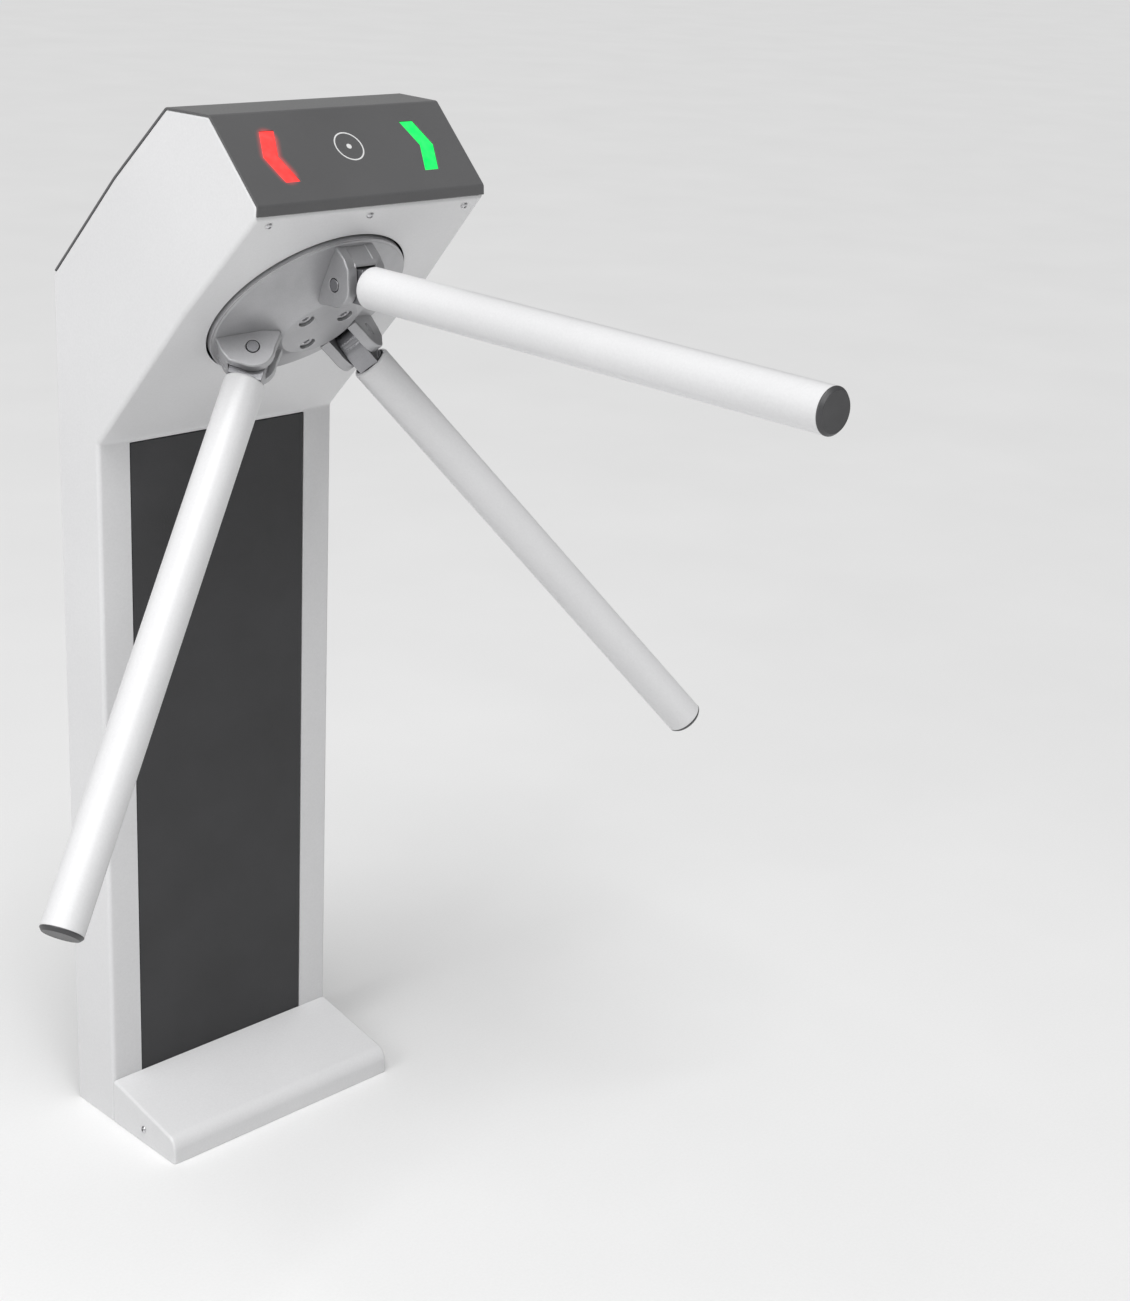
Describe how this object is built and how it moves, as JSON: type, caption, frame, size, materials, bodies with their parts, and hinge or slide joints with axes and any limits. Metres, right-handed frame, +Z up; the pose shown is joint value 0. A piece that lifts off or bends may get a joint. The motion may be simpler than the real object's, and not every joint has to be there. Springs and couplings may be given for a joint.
{
  "type": "tripod turnstile",
  "caption": "Slim floor-standing tripod turnstile with a leaning head, a three-arm drop rotor, arrow lights and a wedge foot.",
  "frame": {"origin": "on the floor, under the middle of the column", "axes": "+Z up, +X along the width, the passage and the arms on the -Y side"},
  "size_m": [0.7914, 0.8129, 1.05],
  "materials": {
    "white_powder_coat": "powder coated, fine texture",
    "anthracite_powder_coat": "powder coated, fine texture",
    "dark_inlay": "fine leather grain",
    "cast_aluminium": "bead blasted",
    "stainless": "satin",
    "zinc_steel": "zinc plated",
    "bearing_steel": "ground",
    "black_plastic": "moulded",
    "cap_plastic": "moulded",
    "red_lens": "lit diffuser",
    "green_lens": "lit diffuser",
    "circuit_board": "solder mask",
    "brass": "machined",
    "pinion_plastic": "acetal",
    "cam_plastic": "acetal",
    "rubber_black": "moulded",
    "spring_steel": "bright",
    "bronze_pawl": "machined",
    "cast_iron_grey": "machined",
    "magnet_body": "painted"
  },
  "bodies": {
    "cabinet": {"main_shell": "white_powder_coat", "head_cover": "anthracite_powder_coat", "front_inlay": "dark_inlay", "back_panel": "white_powder_coat", "base_plate": "zinc_steel", "foot_cover": "white_powder_coat", "equipment_plate": "zinc_steel", "cover_screws": "stainless", "foot_screws": "stainless", "back_screws": "stainless", "cable_grommet": "rubber_black", "red_lens": "red_lens", "green_lens": "green_lens", "indicator_board": "circuit_board", "mechanism_plate": "zinc_steel", "plate_standoffs": "zinc_steel", "plate_bolts": "zinc_steel", "mechanism_posts": "zinc_steel", "bearing_housing": "cast_iron_grey", "housing_screws": "zinc_steel", "front_bearing": "bearing_steel", "rear_bearing": "bearing_steel", "damper_body": "black_plastic", "index_spring": "spring_steel", "pawl_springs": "spring_steel", "solenoid_left": "magnet_body", "solenoid_right": "magnet_body", "sensor_board": "circuit_board", "control_board": "circuit_board", "board_standoffs": "brass", "power_supply": "zinc_steel", "wiring": "rubber_black"},
    "hub": {"rotor_disc": "cast_aluminium", "rotor_screws": "stainless", "hub_shaft": "stainless", "shaft_nut": "zinc_steel", "bracket_a": "cast_aluminium", "bracket_b": "cast_aluminium", "bracket_c": "cast_aluminium", "pin_a": "stainless", "pin_b": "stainless", "pin_c": "stainless", "main_gear": "brass", "lock_disc": "zinc_steel", "index_cam": "cam_plastic", "encoder_disc": "black_plastic"},
    "arm_a": {"tongue_a": "stainless", "tube_a": "white_powder_coat", "cap_a": "cap_plastic"},
    "arm_b": {"tongue_b": "stainless", "tube_b": "white_powder_coat", "cap_b": "cap_plastic"},
    "arm_c": {"tongue_c": "stainless", "tube_c": "white_powder_coat", "cap_c": "cap_plastic"},
    "damper_pinion": {"damper_pinion": "pinion_plastic"},
    "pawl_left": {"pawl_left": "bronze_pawl"},
    "pawl_right": {"pawl_right": "bronze_pawl"},
    "plunger_left": {"plunger_left": "zinc_steel"},
    "plunger_right": {"plunger_right": "zinc_steel"}
  },
  "joints": [
    {"name": "hub_turn", "type": "hinge", "parent": "cabinet", "child": "hub", "pos_m": [0, -0.1642, 0.87134], "axis": [0, -0.7314, -0.682], "continuous": true, "deforming": ["index_spring"]},
    {"name": "arm_a_fold", "type": "hinge", "parent": "hub", "child": "arm_a", "pos_m": [0, -0.2293, 0.90156], "axis": [1, 0, 0], "range_deg": [0, 90]},
    {"name": "arm_b_fold", "type": "hinge", "parent": "hub", "child": "arm_b", "pos_m": [-0.05759, -0.16127, 0.82861], "axis": [-0.5, -0.5906, 0.6334], "range_deg": [0, 45]},
    {"name": "arm_c_fold", "type": "hinge", "parent": "hub", "child": "arm_c", "pos_m": [0.05759, -0.16127, 0.82861], "axis": [-0.5, 0.5906, -0.6334], "range_deg": [0, 45]},
    {"name": "damper_turn", "type": "hinge", "parent": "cabinet", "child": "damper_pinion", "pos_m": [0, -0.05366, 0.87597], "axis": [0, -0.7314, -0.682], "continuous": true},
    {"name": "pawl_left_swing", "type": "hinge", "parent": "cabinet", "child": "pawl_left", "pos_m": [-0.074, -0.06257, 0.90458], "axis": [0, 0.7314, 0.682], "range_deg": [0, 8], "stiffness_Nm_per_rad": 0.4, "springref_deg": -20.05},
    {"name": "plunger_left_travel", "type": "slide", "parent": "cabinet", "child": "plunger_left", "axis": [1, 0, 0], "range_m": [0, 0.0115]},
    {"name": "pawl_right_swing", "type": "hinge", "parent": "cabinet", "child": "pawl_right", "pos_m": [0.074, -0.06257, 0.90458], "axis": [0, -0.7314, -0.682], "range_deg": [0, 8], "stiffness_Nm_per_rad": 0.4, "springref_deg": -20.05},
    {"name": "plunger_right_travel", "type": "slide", "parent": "cabinet", "child": "plunger_right", "axis": [-1, 0, 0], "range_m": [0, 0.0115]}
  ],
  "couplings": [
    {"joint": "damper_turn", "follows": "hub_turn", "ratio": -3},
    {"joint": "plunger_left_travel", "follows": "pawl_left_swing", "m_per_rad": 0.082354},
    {"joint": "plunger_right_travel", "follows": "pawl_right_swing", "m_per_rad": 0.082354}
  ]
}
